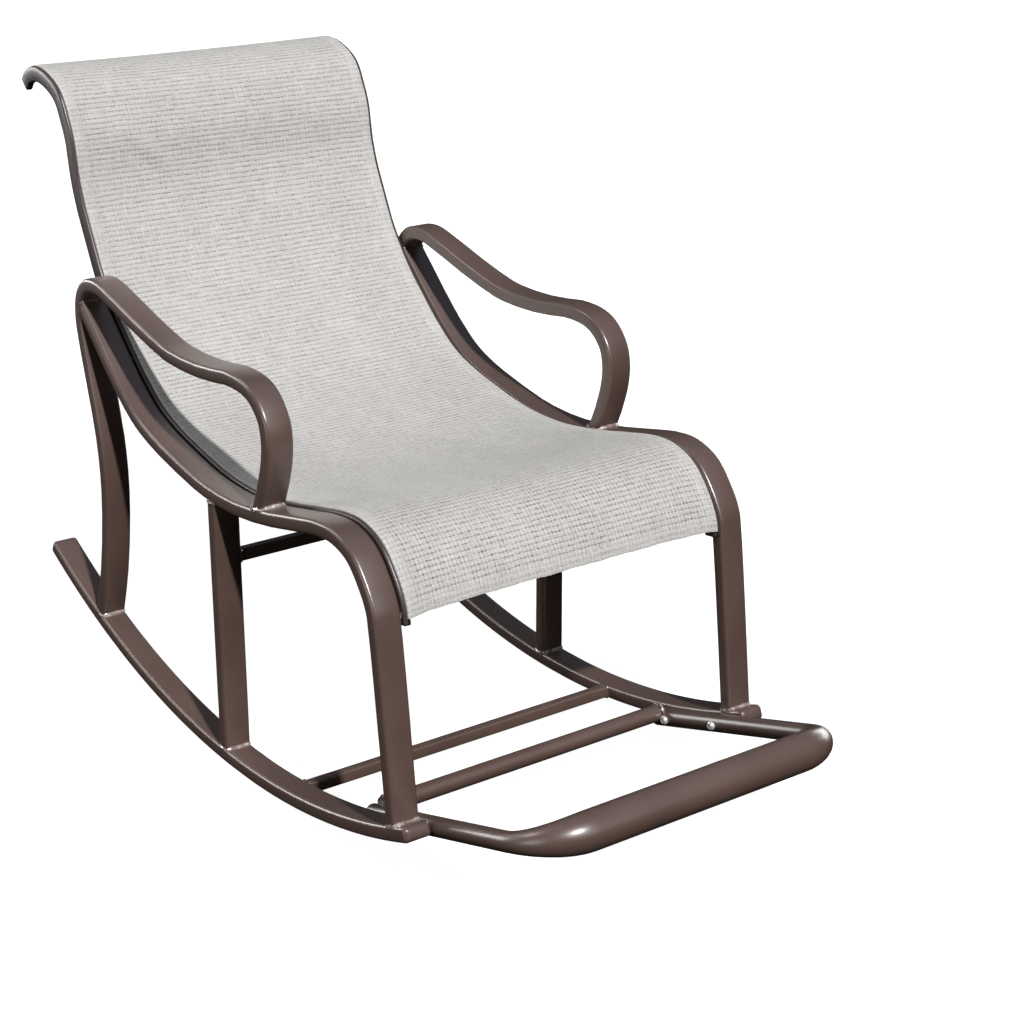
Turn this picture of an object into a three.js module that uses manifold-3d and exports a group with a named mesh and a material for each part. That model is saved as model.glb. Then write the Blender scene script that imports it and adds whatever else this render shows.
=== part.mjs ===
// Rocking chaise lounge: two welded side frames of flat tube stand on curved rockers, a bent foot bar joins
// them in front, and a woven sling is stretched between two grooved rails that follow the frames.
// Millimetres, +Z up. The front faces -Y and the origin is on the floor under the middle of the chair.
import * as THREE from "three";
import { mergeVertices } from "three/addons/utils/BufferGeometryUtils.js";
import Module from "manifold-3d";

// Overall sizes of the side profile
const overallDepth = 1390;
const overallHeight = 954;
const frameSpacing = 590;

// Flat tube of the side frames, broad side up
const tubeWidth = 42;
const tubeThickness = 22;
const tubeCorner = 5;
const tubeWall = 1.5;

// Rockers: two arcs that meet where the chair stands
const rockerFrontRadius = 1217;
const rockerRearRadius = 1282;
const rockerFlat = 50;

// Plugs that close the open tube ends
const plugPlate = 2.5;
const plugDepth = 12;

// Sling rails: grooved bars beside the frames, a little proud of them
const slingRailWidth = 11;
const slingRailDepth = 24;
const slingRailCorner = 3;
const slingRailRise = 1;
const grooveBore = 6.4;
const grooveMouth = 2.6;
const grooveLip = 2.2;
const railLand = 5;
const splineDiameter = 5;
const railCapPlate = 2;

// Sling
const slingThickness = 1.6;

// Bars between the sides
const crossbarSize = 18;
const crossbarCorner = 3;
const spreaderWidth = 24;
const spreaderThickness = 12;
const spreaderSink = 4;

// Foot bar: a round bar bent to a U that swells from its legs to its front
const footLegDiameter = 28;
const footFrontDiameter = 54;
const footBarWall = 2.5;
const footBendRadius = 78;
const footBarLength = 400;
const footBarTail = 30;
const footBarSink = 3.4;
const footCrossbarDiameter = 26;
const footCrossbarInset = 14;
const footCrossbarRise = 10;

// Screws and the threaded inserts that they turn into
const screwDiameter = 6;
const screwReach = 11;
const screwHeadDiameter = 12;
const screwHeadHeight = 4.5;
const headFlatShare = 0.6;
const insertBarrelDiameter = 9;
const insertBarrelLength = 10;
const insertFlangeDiameter = 14;
const insertFlangeThickness = 1.2;

// Gap between touching pieces, clearance round a screw, and overrun of a cut
const seam = 0.3;
const screwClearance = 0.4;
const overrun = 5;

// Length of a straight run, sharpest turn between two stations, and sides of round pieces
const longestRun = 75;
const sharpestTurn = THREE.MathUtils.degToRad(12);
const fineSteps = 600;
const footBarSides = 14;
const screwSides = 8;

// Side profile: points of the centre lines as shares of the overall depth and height
const standShare = 0.5;
const rockerEndShares = [0.1806, 0.9417];
const midLegShare = 0.5338;
const rockerCrossbarShare = 0.41;
const midCrossbarShare = 0.34;
const frontFootShare = 0.206;
const frontLegShares = [[0.218, 0.239]];
const seatShares = [
	[0.229, 0.367], [0.234, 0.406], [0.247, 0.439], [0.268, 0.471], [0.297, 0.486], [0.327, 0.485],
	[0.365, 0.474], [0.432, 0.454], [0.492, 0.444], [0.555, 0.447], [0.619, 0.464], [0.665, 0.481],
	[0.699, 0.501], [0.734, 0.536], [0.766, 0.577], [0.796, 0.619],
];
const railTopShares = [[0.818, 0.649]];
const backShares = [
	[0.815, 0.653], [0.832, 0.687], [0.851, 0.742], [0.865, 0.784], [0.876, 0.832], [0.883, 0.891],
	[0.892, 0.924], [0.906, 0.958], [0.93, 0.977], [0.957, 0.9845], [0.979, 0.976], [0.9885, 0.962],
];
const rearFootShare = 0.825;
const rearLegShares = [
	[0.805, 0.184], [0.793, 0.265], [0.787, 0.349], [0.79, 0.422], [0.802, 0.499], [0.815, 0.569],
];
const rearBendShares = [[0.822, 0.624], [0.817, 0.661], [0.801, 0.683], [0.776, 0.689]];
const armShares = [
	[0.747, 0.681], [0.722, 0.671], [0.698, 0.661], [0.66, 0.647], [0.62, 0.635], [0.586, 0.632],
	[0.552, 0.633], [0.522, 0.637], [0.491, 0.643], [0.456, 0.64], [0.437, 0.628], [0.422, 0.604],
	[0.417, 0.574], [0.419, 0.542], [0.429, 0.497], [0.443, 0.453],
];

// Places along the sling rails, as shares of their run from the hem to the hook
const railStartShare = 0.0125;
const slingHemShare = 0.024;
const slingEndShare = 0.952;
const slingScrewShares = [["front", 0.023], ["seat", 0.318], ["rear", 0.51]];
const spreaderShares = [["front", 0.144], ["back", 0.616], ["head", 0.915]];

// Places of the foot bar's screws on the rockers, as shares of the overall depth
const footScrewShares = [["rear", 0.2788], ["front", 0.2033]];

// Planes worked out from the sizes above
const tubeInnerFace = frameSpacing / 2 - tubeWidth / 2;
const insertSeat = tubeInnerFace - seam;
const bracketFace = insertSeat - insertFlangeThickness - seam;
const slingRailPlane = bracketFace - slingRailWidth / 2;
const railInnerFace = slingRailPlane - slingRailWidth / 2;
const railTop = slingRailRise + slingRailDepth / 2;
const grooveCentre = railLand + grooveMouth / 2 - slingRailWidth / 2;
const grooveRise = railTop - grooveLip - grooveBore / 2;
const slingHalfWidth = slingRailPlane - grooveCentre + slingThickness / 2;
const footLegPlane = bracketFace - footLegDiameter / 2;

const finish = (name, color, roughness, metalness) =>
	new THREE.MeshStandardMaterial({ name, color, roughness, metalness });

const finishes = {
	frame: finish("bronze_coat", 0x5f4c46, 0.38, 0.35),
	rail: finish("rail_coat", 0x4b4242, 0.42, 0.35),
	plastic: finish("plug_plastic", 0x2b2625, 0.6, 0),
	sling: finish("sling_weave", 0xd3d2cd, 0.85, 0),
	spline: finish("spline_plastic", 0x3a3535, 0.5, 0),
	steel: finish("zinc_steel", 0xc8c6c2, 0.3, 1),
};

const wasm = await Module();
wasm.setup();

const chair = new THREE.Group();
const sides = { left: -1, right: 1 };

const add = (name, geometry, material) => {
	const mesh = new THREE.Mesh(geometry, material);
	mesh.name = name;
	chair.add(mesh);
	return mesh;
};

// Solids for joining and cutting
const toSolid = (geometry) => {
	const bare = geometry.clone();
	bare.deleteAttribute("normal");
	bare.deleteAttribute("uv");
	const { attributes, index } = mergeVertices(bare);
	const vertProperties = attributes.position.array;
	const triVerts = new Uint32Array(index.array);
	return new wasm.Manifold(new wasm.Mesh({ numProp: 3, vertProperties, triVerts }));
};

const toGeometry = (solid) => {
	const { vertProperties, triVerts } = solid.getMesh();
	const geometry = new THREE.BufferGeometry();
	geometry.setAttribute("position", new THREE.BufferAttribute(vertProperties, 3));
	geometry.setIndex(new THREE.BufferAttribute(triVerts, 1));
	geometry.computeVertexNormals();
	return geometry;
};

const cut = (geometry, ...cutters) =>
	toGeometry(cutters.reduce((solid, cutter) => solid.subtract(toSolid(cutter)), toSolid(geometry)));

const join = (...geometries) => toGeometry(geometries.map(toSolid).reduce((sum, solid) => sum.add(solid)));

// Outlines of sections, counter-clockwise
const roundedRectangle = (width, height, radius, cornerSteps) => {
	const corners = [[1, 1], [-1, 1], [-1, -1], [1, -1]];
	return corners.flatMap(([across, up], quarter) =>
		Array.from({ length: cornerSteps + 1 }, (_, step) => {
			const angle = ((quarter + step / cornerSteps) * Math.PI) / 2;
			return new THREE.Vector2(
				across * (width / 2 - radius) + radius * Math.cos(angle),
				up * (height / 2 - radius) + radius * Math.sin(angle),
			);
		}),
	);
};

const circle = (radius, count) =>
	Array.from({ length: count }, (_, step) => {
		const angle = ((step + 0.5) / count) * 2 * Math.PI;
		return new THREE.Vector2(radius * Math.cos(angle), radius * Math.sin(angle));
	});

const shifted = (outline, right, up) => outline.map(({ x, y }) => new THREE.Vector2(x + right, y + up));

// A centre line in the plane of one side. Its stations lie closer together where it bends.
class SideCurve extends THREE.CatmullRomCurve3 {
	constructor(points, plane, stations) {
		super(points.map(({ x, y }) => new THREE.Vector3(plane, x, y)), false, "centripetal");
		this.flatPoints = points;
		this.plane = plane;
		this.stations = stations ?? this.bendStations();
	}

	bendStations() {
		const stations = [0];
		for (let step = 1; step < fineSteps; step++) {
			const share = step / fineSteps;
			const last = stations.at(-1);
			const run = this.getPoint(share).distanceTo(this.getPoint(last));
			const turn = this.getTangent(share).angleTo(this.getTangent(last));
			if (run > longestRun || turn > sharpestTurn) stations.push(share);
		}
		stations.push(1);
		return stations;
	}

	getUtoTmapping(share) {
		return this.stations[Math.round(share * (this.stations.length - 1))];
	}

	// Frames whose first axis lies across the chair, so that a section keeps its broad side level
	computeFrenetFrames(segments) {
		const across = new THREE.Vector3(-1, 0, 0);
		const places = Array.from({ length: segments + 1 }, (_, step) => step / segments);
		const tangents = places.map((share) => this.getTangentAt(share));
		const normals = tangents.map(() => across);
		const binormals = tangents.map((tangent) => new THREE.Vector3().crossVectors(tangent, across));
		return { tangents, normals, binormals };
	}

	// The same line between two of its points, counted from its start
	part(from, to) {
		const last = this.points.length - 1;
		const inside = this.stations.filter((share) => share > from / last && share < to / last);
		return new SideCurve(this.flatPoints, this.plane, inside);
	}

	// The same line from the first to the last of some places, with a station at each
	through(...places) {
		const inside = this.stations.filter((share) => share > places[0] && share < places.at(-1));
		const stations = [...inside, ...places].sort((one, other) => one - other);
		return new SideCurve(this.flatPoints, this.plane, stations);
	}

	heightOver(depth) {
		const nearer = (one, other) => (Math.abs(one.y - depth) < Math.abs(other.y - depth) ? one : other);
		return this.getPoints(fineSteps).reduce(nearer).z;
	}

	// Point beside the centre line, square to it in the plane of the side, and the angle of the line there
	beside(share, rise) {
		const tangent = this.getTangent(share);
		const pitch = Math.atan2(tangent.z, tangent.y);
		const offset = new THREE.Vector3(0, -Math.sin(pitch) * rise, Math.cos(pitch) * rise);
		return { point: this.getPoint(share).add(offset), pitch };
	}
}

const profile = (shares) =>
	shares.map(([depth, height]) => new THREE.Vector2((depth - 0.5) * overallDepth, height * overallHeight));

const sweep = (curve, outline, bore) => {
	const shape = new THREE.Shape(outline);
	if (bore) shape.holes.push(new THREE.Path(bore));
	return new THREE.ExtrudeGeometry(shape, { steps: curve.stations.length - 1, extrudePath: curve });
};

// The flat tube, its bore, and the slightly larger space that its neighbours leave free for it
const tubeOutline = roundedRectangle(tubeWidth, tubeThickness, tubeCorner, 2);
const boreOutline = roundedRectangle(
	tubeWidth - 2 * tubeWall, tubeThickness - 2 * tubeWall, tubeCorner - tubeWall, 1,
);
const clearOutline = roundedRectangle(tubeWidth + 2 * seam, tubeThickness + 2 * seam, tubeCorner + seam, 2);
const flatTube = (curve) => sweep(curve, tubeOutline, boreOutline);
const flatTubeSpace = (curve) => sweep(curve, clearOutline);

// Rocker arcs as even facets, with a level one where the chair stands
const standPlace = (standShare - 0.5) * overallDepth;
const levelAngle = (radius) => Math.asin(rockerFlat / 2 / radius);

const rockerPoint = (radius, angle, direction) =>
	new THREE.Vector2(
		standPlace + direction * radius * Math.sin(angle),
		tubeThickness / 2 + radius * (Math.cos(levelAngle(radius)) - Math.cos(angle)),
	);

const rockerArc = (radius, reach, direction) => {
	const level = levelAngle(radius);
	const end = Math.asin(reach / radius);
	const count = Math.round((end - level) / (2 * level));
	return Array.from({ length: count + 1 }, (_, step) =>
		rockerPoint(radius, level + ((end - level) * step) / count, direction),
	);
};

const [rockerFrontReach, rockerRearReach] = rockerEndShares.map((share) =>
	Math.abs((share - 0.5) * overallDepth - standPlace),
);
const rockerPoints = [
	...rockerArc(rockerFrontRadius, rockerFrontReach, -1).reverse(),
	...rockerArc(rockerRearRadius, rockerRearReach, 1),
];

const onRocker = (share) => {
	const reach = (share - 0.5) * overallDepth - standPlace;
	const radius = reach < 0 ? rockerFrontRadius : rockerRearRadius;
	return rockerPoint(radius, Math.asin(Math.abs(reach) / radius), Math.sign(reach));
};

const rockerCurve = (plane) => {
	const last = rockerPoints.length - 1;
	return new SideCurve(rockerPoints, plane, rockerPoints.map((_, step) => step / last));
};

// Screws and inserts lie along X. The screw's head faces the middle of the chair.
const lathe = (profilePoints) => {
	const points = profilePoints.map(([radius, along]) => new THREE.Vector2(radius, along));
	return new THREE.LatheGeometry(points, screwSides);
};

const alongX = (geometry, direction, { x, y, z }) =>
	geometry.rotateZ((-direction * Math.PI) / 2).translate(x, y, z);

const screwGeometry = (length) => {
	const shank = screwDiameter / 2;
	const head = screwHeadDiameter / 2;
	return lathe([
		[0, -screwHeadHeight], [head * headFlatShare, -screwHeadHeight], [head, -screwHeadHeight / 2],
		[head, 0], [shank, 0], [shank, length], [0, length],
	]);
};

const insertGeometry = () => {
	const bore = screwDiameter / 2 + screwClearance;
	const barrel = insertBarrelDiameter / 2;
	const flange = insertFlangeDiameter / 2;
	return lathe([
		[bore, 0], [flange, 0], [flange, insertFlangeThickness], [barrel, insertFlangeThickness],
		[barrel, insertBarrelLength], [bore, insertBarrelLength], [bore, 0],
	]);
};

const rodAlongX = (diameter, from, to, { y, z }) => {
	const rod = new THREE.CylinderGeometry(diameter / 2, diameter / 2, Math.abs(to - from), screwSides);
	return rod.rotateZ(Math.PI / 2).translate((from + to) / 2, y, z);
};

const insertHole = (side, place) => {
	const diameter = insertBarrelDiameter + 2 * seam;
	return rodAlongX(diameter, side * (tubeInnerFace - overrun), side * (tubeInnerFace + overrun), place);
};

const screwHole = (side, innerFace, place) => {
	const diameter = screwDiameter + 2 * screwClearance;
	return rodAlongX(diameter, side * (innerFace - overrun), side * tubeInnerFace, place);
};

const addScrew = (name, side, headSeat, place) => {
	const seat = headSeat - seam;
	const screw = screwGeometry(tubeInnerFace - seat + screwReach);
	const flangeFace = insertSeat - insertFlangeThickness;
	const onPlane = (plane) => place.clone().setX(side * plane);
	add(`${name}_screw`, alongX(screw, side, onPlane(seat)), finishes.steel);
	add(`${name}_insert`, alongX(insertGeometry(), side, onPlane(flangeFace)), finishes.steel);
};

const block = (outline, depth) =>
	new THREE.ExtrudeGeometry(new THREE.Shape(outline), { depth, bevelEnabled: false });

// Tube plugs: a plate as wide as the tube and a stub that fits its bore
const addPlug = (name, curve, atEnd) => {
	const { point, pitch } = curve.beside(atEnd ? 1 : 0, 0);
	const wall = tubeWall + seam;
	const stub = roundedRectangle(tubeWidth - 2 * wall, tubeThickness - 2 * wall, tubeCorner - wall, 1);
	const plate = block(tubeOutline, plugPlate).translate(0, 0, seam);
	const plug = join(plate, block(stub, plugDepth).translate(0, 0, seam + plugPlate / 2 - plugDepth));
	const mesh = add(name, plug, finishes.plastic);
	mesh.position.copy(point);
	mesh.rotation.x = (atEnd ? -Math.PI / 2 : Math.PI / 2) + pitch;
};

// Round hollow bar in one plane, with a ring of corners at each station outside and inside
const loftTube = (stations, wall) => {
	const outside = stations.map((station) => ({ ...station, inset: 0 }));
	const inside = stations.map((station) => ({ ...station, inset: wall })).reverse();
	const rings = [...outside, ...inside];
	const positions = rings.flatMap(({ centre, heading, radius, inset }) =>
		circle(radius - inset, footBarSides).flatMap(({ x, y }) => [
			centre.x + heading.y * x, centre.y - heading.x * x, y,
		]),
	);
	const indices = rings.flatMap((_, ring) =>
		Array.from({ length: footBarSides }, (_side, corner) => {
			const next = (corner + 1) % footBarSides;
			const here = ring * footBarSides;
			const beyond = ((ring + 1) % rings.length) * footBarSides;
			return [here + corner, beyond + corner, here + next, here + next, beyond + corner, beyond + next];
		}).flat(),
	);
	const geometry = new THREE.BufferGeometry();
	geometry.setAttribute("position", new THREE.Float32BufferAttribute(positions, 3));
	geometry.setIndex(indices);
	geometry.computeVertexNormals();
	return geometry;
};

// The foot bar's plan: a leg, a bend that swells, half of the front, and the same mirrored
const footBarStations = () => {
	const legRadius = footLegDiameter / 2;
	const frontRadius = footFrontDiameter / 2;
	const legEnd = footBarLength - footBendRadius;
	const bendSteps = 7;
	const legStart = new THREE.Vector2(footLegPlane, 0);
	const half = [{ centre: legStart, heading: new THREE.Vector2(0, -1), radius: legRadius }];
	for (let step = 0; step <= bendSteps; step++) {
		const share = step / bendSteps;
		const angle = (share * Math.PI) / 2;
		half.push({
			centre: new THREE.Vector2(
				footLegPlane - footBendRadius * (1 - Math.cos(angle)),
				-legEnd - footBendRadius * Math.sin(angle),
			),
			heading: new THREE.Vector2(-Math.sin(angle), -Math.cos(angle)),
			radius: THREE.MathUtils.lerp(legRadius, frontRadius, THREE.MathUtils.smoothstep(share, 0, 1)),
		});
	}
	const mirrored = half.map(({ centre, heading, radius }) => ({
		centre: new THREE.Vector2(-centre.x, centre.y),
		heading: new THREE.Vector2(heading.x, -heading.y),
		radius,
	}));
	return [...half, ...mirrored.reverse()];
};

// Its legs lie along the line between the two screws of a rocker, a little lower
const footScrewSpots = footScrewShares.map(([, share]) => onRocker(share));
const footLine = new THREE.Vector2().subVectors(footScrewSpots[1], footScrewSpots[0]);
const footPitch = Math.atan2(footLine.y, -footLine.x);

const footShift = (along, rise) =>
	new THREE.Vector3(0, -along, rise).applyAxisAngle(new THREE.Vector3(1, 0, 0), -footPitch);

const footRear = new THREE.Vector3(0, footScrewSpots[0].x, footScrewSpots[0].y)
	.add(footShift(-footBarTail, -footBarSink));
const footPlace = (along, rise) => footRear.clone().add(footShift(along, rise));
const onFootPlane = (geometry) => geometry.rotateX(-footPitch).translate(0, footRear.y, footRear.z);

// Foot bar, its screws and its plugs
const footScrewPlaces = footScrewShares.map(([name], order) => ({
	name,
	place: footPlace(footBarTail + order * footLine.length(), 0),
}));

const footBarBlank = onFootPlane(loftTube(footBarStations(), footBarWall));
const footLegFace = footLegPlane - footLegDiameter / 2;
const footHoles = Object.values(sides).flatMap((side) =>
	footScrewPlaces.map(({ place }) => screwHole(side, footLegFace, place)),
);
add("foot_bar", cut(footBarBlank, ...footHoles), finishes.frame);

const footCrossbarPlace = footPlace(footCrossbarInset, footCrossbarRise);
const footCrossbar = rodAlongX(footCrossbarDiameter, -footLegPlane, footLegPlane, footCrossbarPlace);
const footLegSpace = (side) => {
	const radius = footLegDiameter / 2 + seam;
	const space = new THREE.CylinderGeometry(radius, radius, footBarLength, footBarSides);
	return space.rotateX(-footPitch).translate(side * footLegPlane, footRear.y, footRear.z);
};
const footCrossbarBoreDiameter = footCrossbarDiameter - 2 * tubeWall;
const footCrossbarBore = rodAlongX(footCrossbarBoreDiameter, -frameSpacing, frameSpacing, footCrossbarPlace);
add(
	"foot_crossbar",
	cut(footCrossbar, ...Object.values(sides).map(footLegSpace), footCrossbarBore),
	finishes.frame,
);

const addFootPlug = (name, side) => {
	const plate = footLegDiameter / 2;
	const stub = footLegDiameter / 2 - footBarWall - seam;
	const plug = lathe([
		[0, -plugDepth], [stub, -plugDepth], [stub, seam], [plate, seam], [plate, plugPlate + seam],
		[0, plugPlate + seam],
	]);
	const mesh = add(name, plug, finishes.plastic);
	mesh.position.copy(footRear).setX(side * footLegPlane);
	mesh.rotation.x = -footPitch;
};

// Bars with a bore, square across the chair
const crossBar = (width, height, corner, halfLength) => {
	const shape = new THREE.Shape(roundedRectangle(width, height, corner, 1));
	const bore = roundedRectangle(width - 2 * tubeWall, height - 2 * tubeWall, corner - tubeWall, 1);
	shape.holes.push(new THREE.Path(bore));
	const bar = new THREE.ExtrudeGeometry(shape, { depth: 2 * halfLength, bevelEnabled: false });
	return bar.translate(0, 0, -halfLength).rotateY(Math.PI / 2);
};

const addCrossBar = (name, geometry, { y, z }, pitch) => {
	const mesh = add(name, geometry, finishes.frame);
	mesh.position.set(0, y, z);
	mesh.rotation.x = pitch;
};

const squareBar = () => crossBar(crossbarSize, crossbarSize, crossbarCorner, tubeInnerFace - seam);
const midLegFoot = onRocker(midLegShare);
const rockerCrossbarSpot = onRocker(rockerCrossbarShare);
const rockerCrossbarPitch = Math.asin((rockerCrossbarSpot.x - standPlace) / rockerFrontRadius);
addCrossBar("mid_crossbar", squareBar(), { y: midLegFoot.x, z: midCrossbarShare * overallHeight }, 0);
addCrossBar(
	"rocker_crossbar", squareBar(), { y: rockerCrossbarSpot.x, z: rockerCrossbarSpot.y }, rockerCrossbarPitch,
);

// Section of a sling rail, with a groove in its top that leaves a plain strip at the outer side
const railOutline = (side) => {
	const outline = shifted(
		roundedRectangle(slingRailWidth, slingRailDepth, slingRailCorner, 1), 0, slingRailRise,
	);
	const radius = grooveBore / 2;
	const lip = Math.asin(grooveMouth / grooveBore);
	const wallSteps = 6;
	const groove = Array.from({ length: wallSteps + 1 }, (_, step) => {
		const angle = Math.PI / 2 - lip - ((2 * Math.PI - 2 * lip) * step) / wallSteps;
		const wall = new THREE.Vector2(radius * Math.cos(angle), radius * Math.sin(angle));
		return wall.add(new THREE.Vector2(grooveCentre, grooveRise));
	});
	const mouth = (across) => new THREE.Vector2(grooveCentre + across, railTop);
	const cutIn = [mouth(grooveMouth / 2), ...groove, mouth(-grooveMouth / 2)];
	const points = [...outline.slice(0, 2), ...cutIn, ...outline.slice(2)];
	return points.map(({ x, y }) => new THREE.Vector2(side * x, y));
};

const slingPoints = profile([...seatShares, ...backShares]);
const slingCurve = (plane) =>
	new SideCurve(slingPoints, plane).through(railStartShare, slingHemShare, slingEndShare, 1);

// One side of the chair
const addSide = (name, side) => {
	const plane = (side * frameSpacing) / 2;
	const rocker = rockerCurve(plane);
	const rockerSpace = flatTubeSpace(rocker);
	const footInsertHoles = footScrewPlaces.map(({ place }) => insertHole(side, place));
	add(`${name}_rocker`, cut(flatTube(rocker), ...footInsertHoles), finishes.frame);
	addPlug(`${name}_rocker_front_plug`, rocker, false);
	addPlug(`${name}_rocker_rear_plug`, rocker, true);

	const rail = slingCurve(side * slingRailPlane);
	const slingScrews = slingScrewShares.map(([place, share]) => ({
		place,
		point: rail.beside(share, -slingRailRise).point,
	}));

	const frontLegPoints = [onRocker(frontFootShare), ...profile(frontLegShares)];
	const frontLeg = new SideCurve([...frontLegPoints, ...profile([...seatShares, ...railTopShares])], plane);
	const seatPart = frontLeg.part(frontLegPoints.length, frontLegPoints.length + seatShares.length);
	const rearLegPoints = [onRocker(rearFootShare), ...profile(rearLegShares)];
	const rearLeg = new SideCurve([...rearLegPoints, ...profile([...rearBendShares, ...armShares])], plane);
	const bendPart = rearLeg.part(rearLegPoints.length - 2, rearLegPoints.length + rearBendShares.length);
	const midLegTop = new THREE.Vector2(midLegFoot.x, frontLeg.heightOver(midLegFoot.x));
	const midLeg = new SideCurve([midLegFoot, midLegTop], plane, [0, 1]);

	const slingInsertHoles = slingScrews.map(({ point }) => insertHole(side, point));
	add(
		`${name}_front_leg_and_side_rail`,
		cut(flatTube(frontLeg), rockerSpace, flatTubeSpace(bendPart), ...slingInsertHoles),
		finishes.frame,
	);
	add(
		`${name}_rear_leg_and_arm`,
		cut(flatTube(rearLeg), rockerSpace, flatTubeSpace(seatPart)),
		finishes.frame,
	);
	add(`${name}_mid_leg`, cut(flatTube(midLeg), rockerSpace, flatTubeSpace(seatPart)), finishes.frame);

	const railHoles = slingScrews.map(({ point }) => screwHole(side, railInnerFace, point));
	add(`${name}_sling_rail`, cut(sweep(rail, railOutline(side)), ...railHoles), finishes.rail);
	const splineOutline = shifted(circle(splineDiameter / 2, 6), side * grooveCentre, grooveRise);
	add(`${name}_sling_spline`, sweep(rail, splineOutline), finishes.spline);

	[["front", railStartShare], ["head", 1]].forEach(([end, share]) => {
		const outline = shifted(
			roundedRectangle(slingRailWidth, slingRailDepth, slingRailCorner, 2), 0, slingRailRise,
		);
		const { point, pitch } = rail.beside(share, 0);
		const cap = block(outline, railCapPlate).rotateX(Math.PI / 2);
		const mesh = add(`${name}_sling_rail_${end}_cap`, cap, finishes.plastic);
		const reach = end === "head" ? seam + railCapPlate : -seam;
		mesh.rotation.x = pitch;
		mesh.position.copy(point).add(new THREE.Vector3(0, Math.cos(pitch) * reach, Math.sin(pitch) * reach));
	});

	slingScrews.forEach(({ place, point }) => addScrew(`${name}_sling_${place}`, side, railInnerFace, point));
	footScrewPlaces.forEach(({ name: end, place }) =>
		addScrew(`${name}_foot_${end}`, side, footLegFace, place),
	);
	addFootPlug(`${name}_foot_bar_plug`, side);
};

Object.entries(sides).forEach(([name, side]) => addSide(name, side));

// Spreader bars that keep the sling rails apart, under the sling
const middleLine = slingCurve(0);
spreaderShares.forEach(([name, share]) => {
	const { point, pitch } = middleLine.beside(share, -spreaderSink);
	const bar = crossBar(spreaderThickness, spreaderWidth, crossbarCorner, railInnerFace - seam);
	addCrossBar(`${name}_spreader`, bar, point, pitch);
});

// Sling: a flat sheet over the rails, from the front hem to the hook, with edges turned down into the grooves
const slingLine = middleLine.through(slingHemShare, slingEndShare);
const slingUnder = railTop + seam;
const slingTop = slingUnder + slingThickness;
const edgeFoot = grooveRise + splineDiameter / 2 + seam;
const edgeRound = slingThickness / 4;
const slingHalfOutline = [
	[slingHalfWidth - slingThickness, slingUnder], [slingHalfWidth - slingThickness, edgeFoot],
	[slingHalfWidth, edgeFoot], [slingHalfWidth, slingTop - edgeRound], [slingHalfWidth - edgeRound, slingTop],
];
const slingOutline = [
	...slingHalfOutline.map(([across, rise]) => new THREE.Vector2(across, rise)),
	...slingHalfOutline.map(([across, rise]) => new THREE.Vector2(-across, rise)).reverse(),
];
add("sling", sweep(slingLine, slingOutline), finishes.sling);

export default chair;
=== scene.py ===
import math

import bpy
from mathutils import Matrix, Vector
from mathutils.geometry import interpolate_bezier


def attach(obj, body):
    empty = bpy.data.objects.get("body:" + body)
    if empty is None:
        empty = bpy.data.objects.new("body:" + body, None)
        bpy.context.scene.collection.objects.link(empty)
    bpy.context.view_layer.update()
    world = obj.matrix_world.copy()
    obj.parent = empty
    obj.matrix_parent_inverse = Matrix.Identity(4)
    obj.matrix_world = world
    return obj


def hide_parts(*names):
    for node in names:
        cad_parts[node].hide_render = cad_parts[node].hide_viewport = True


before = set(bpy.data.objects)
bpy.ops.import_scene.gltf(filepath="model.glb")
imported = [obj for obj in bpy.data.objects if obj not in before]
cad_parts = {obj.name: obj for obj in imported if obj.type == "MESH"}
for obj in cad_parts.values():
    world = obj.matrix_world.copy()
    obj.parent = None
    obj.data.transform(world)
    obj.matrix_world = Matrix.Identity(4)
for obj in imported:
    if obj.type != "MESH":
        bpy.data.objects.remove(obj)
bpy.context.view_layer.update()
sides = {"left": -1, "right": 1}

# The two rockers are the first thing on the bending table. Each is one length of flat steel tube with
# rounded edges, rolled to a wide arc that is flatter behind than in front, with a short level run where the
# chair rests.
frame_plane = 0.295
tube_width = 0.042
tube_thickness = 0.022
tube_corner = 0.005
stand_run = 0.025
rocker_arcs = {"front": (-1, 1.217, 0.444), "rear": (1, 1.282, 0.614)}
arc_steps = 28
nose_length = 0.006


def rocker_spot(reach):
    """Place and direction of the rocker's middle line at a reach behind the stand (or before it, below 0)."""
    way, radius, _ = rocker_arcs["rear" if reach > 0 else "front"]
    turn = math.asin(reach / radius)
    level = math.asin(stand_run / radius)
    lift = radius * (math.cos(level) - math.cos(turn))
    return Vector((0, reach, tube_thickness / 2 + max(lift, 0))), math.pi / 2 - turn


def heading(angle):
    """Direction of a line in the side view that runs at this angle from straight up."""
    return Vector((0, math.sin(angle), math.cos(angle)))


def section_up(angle):
    """Direction square to a line that runs at this angle from straight up, on its upper side."""
    return Vector((0, -math.cos(angle), math.sin(angle)))


def across(offset):
    """A shift across the chair, to the right (or to the left, below 0)."""
    return Vector((offset, 0, 0))


def start_section(name, width, height, corner, steps=4):
    """Draws the rounded outline of a bar at the origin and leaves it in edit mode."""
    bpy.ops.object.select_all(action="DESELECT")
    bpy.ops.mesh.primitive_plane_add(size=1)
    bpy.context.object.name = name
    bpy.ops.object.mode_set(mode="EDIT")
    bpy.ops.transform.resize(value=(width, height, 1), center_override=(0, 0, 0))
    bpy.ops.mesh.bevel(offset=corner, segments=steps, affect="VERTICES")


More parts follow.
